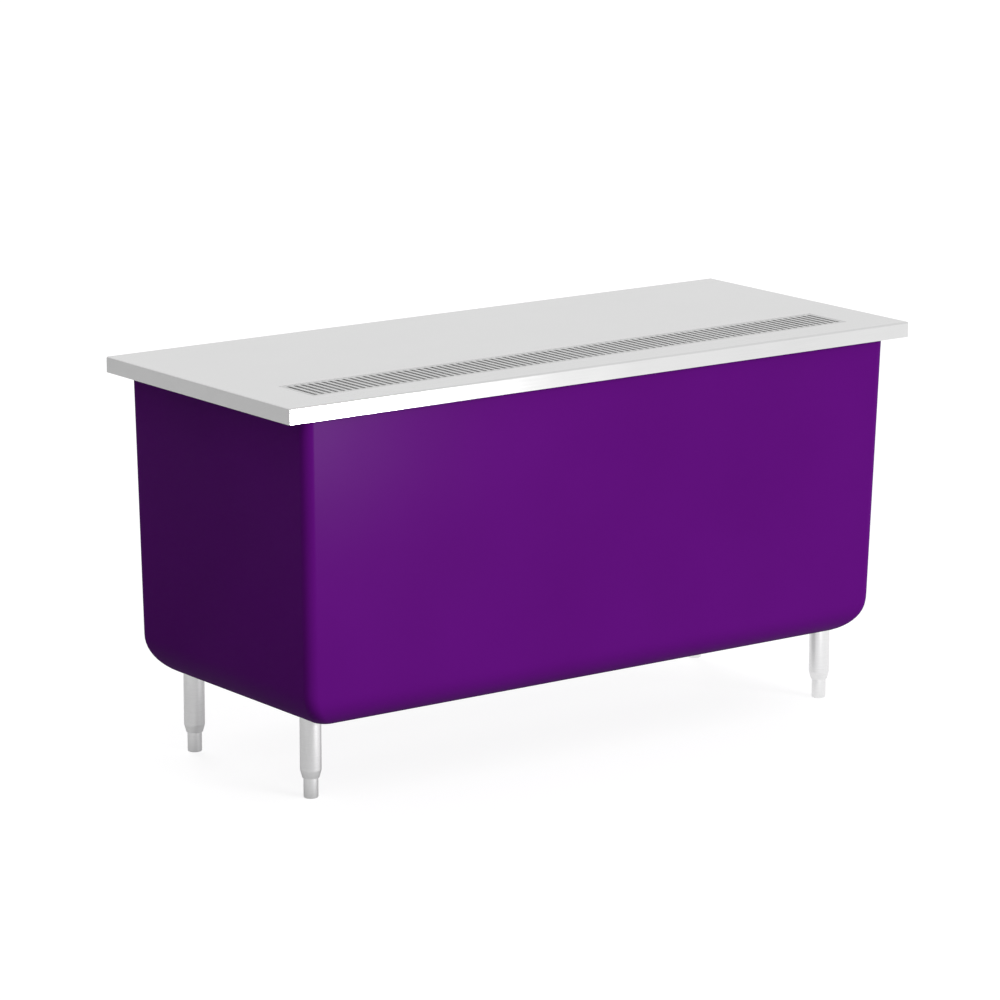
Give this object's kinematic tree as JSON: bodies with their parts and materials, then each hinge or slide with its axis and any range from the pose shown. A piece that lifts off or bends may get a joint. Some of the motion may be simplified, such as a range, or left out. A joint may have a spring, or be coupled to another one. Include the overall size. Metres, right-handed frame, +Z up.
{
  "type": "beverage serving counter",
  "caption": "Free-standing serving counter with a moulded tub body, a stainless top, a long drip trough with lift-out slotted grates, an open storage bay behind and adjustable legs.",
  "frame": {"origin": "on the floor under the middle of the top", "axes": "+Z up, +X along the counter to the customer's right, -Y towards the customer"},
  "size_m": [1.742, 0.74, 0.914],
  "materials": {
    "top_stainless": "satin stainless sheet with a fine grain along its length",
    "grate_stainless": "satin stainless",
    "gelcoat": "smooth purple gelcoat over fibreglass",
    "galvanised": "galvanised sheet steel",
    "leg_stainless": "satin stainless tube",
    "foot_stainless": "turned stainless",
    "insert_nylon": "white engineering plastic",
    "zinc": "zinc plated",
    "bolt_stainless": "stainless",
    "rubber": "black rubber",
    "ledger_wood": "sealed hardwood",
    "pipe_plastic": "white pipe plastic",
    "valve_brass": "cast brass",
    "valve_steel": "plated steel",
    "grip_vinyl": "dipped red vinyl"
  },
  "bodies": {
    "counter": {"base_cross_centre": "galvanised", "base_cross_left": "galvanised", "base_cross_right": "galvanised", "base_rail_front": "galvanised", "base_rail_rear": "galvanised", "bedding_strips": "rubber", "body_shell": "gelcoat", "corner_post_front_left": "galvanised", "corner_post_front_right": "galvanised", "corner_post_rear_left": "galvanised", "corner_post_rear_right": "galvanised", "countertop": "top_stainless", "drain_elbow_lower": "pipe_plastic", "drain_elbow_upper": "pipe_plastic", "drain_gasket": "rubber", "drain_locknut": "grate_stainless", "drain_run_pipe": "pipe_plastic", "drain_spigot": "valve_brass", "drain_strainer": "grate_stainless", "drain_tailpiece": "grate_stainless", "drip_trough": "top_stainless", "frame_bolts": "zinc", "frame_nuts": "zinc", "ledger_blocks": "ledger_wood", "leg_inserts": "insert_nylon", "leg_set_screws": "zinc", "leg_sockets": "galvanised", "leg_tube_front_left": "leg_stainless", "leg_tube_front_right": "leg_stainless", "leg_tube_rear_left": "leg_stainless", "leg_tube_rear_right": "leg_stainless", "pan_screws": "zinc", "pipe_hanger": "galvanised", "shell_bolts": "bolt_stainless", "shell_nuts": "zinc", "storage_shelf": "top_stainless", "top_channel_centre": "galvanised", "top_channel_front": "galvanised", "top_channel_rear": "galvanised", "top_channel_trough": "galvanised", "top_rail_centre": "galvanised", "top_rail_left": "galvanised", "top_rail_right": "galvanised", "valve_body": "valve_brass", "valve_end_plug": "valve_brass", "valve_nipple": "pipe_plastic", "valve_packing_nut": "valve_brass", "valve_seats": "insert_nylon"},
    "grate_left": {"drip_grate_left": "grate_stainless"},
    "grate_right": {"drip_grate_right": "grate_stainless"},
    "foot_front_left": {"foot_front_left": "foot_stainless"},
    "foot_front_right": {"foot_front_right": "foot_stainless"},
    "foot_rear_left": {"foot_rear_left": "foot_stainless"},
    "foot_rear_right": {"foot_rear_right": "foot_stainless"},
    "drain_handle": {"lever_grip": "grip_vinyl", "lever_nut": "zinc", "valve_ball": "valve_steel", "valve_lever": "valve_steel", "valve_stem": "valve_steel"}
  },
  "joints": [
    {"name": "grate_left_lift", "type": "slide", "parent": "counter", "child": "grate_left", "axis": [0, 0, 1], "range_m": [0, 0.2]},
    {"name": "grate_right_lift", "type": "slide", "parent": "counter", "child": "grate_right", "axis": [0, 0, 1], "range_m": [0, 0.2]},
    {"name": "drain_turn", "type": "hinge", "parent": "counter", "child": "drain_handle", "pos_m": [0.586, 0.2635, 0.7205], "axis": [0, -1, 0], "range_deg": [0, 90]},
    {"name": "foot_front_left_height", "type": "slide", "parent": "counter", "child": "foot_front_left", "axis": [0, 0, 1], "range_m": [-0.018, 0.022]},
    {"name": "foot_front_right_height", "type": "slide", "parent": "counter", "child": "foot_front_right", "axis": [0, 0, 1], "range_m": [-0.018, 0.022]},
    {"name": "foot_rear_left_height", "type": "slide", "parent": "counter", "child": "foot_rear_left", "axis": [0, 0, 1], "range_m": [-0.018, 0.022]},
    {"name": "foot_rear_right_height", "type": "slide", "parent": "counter", "child": "foot_rear_right", "axis": [0, 0, 1], "range_m": [-0.018, 0.022]}
  ]
}
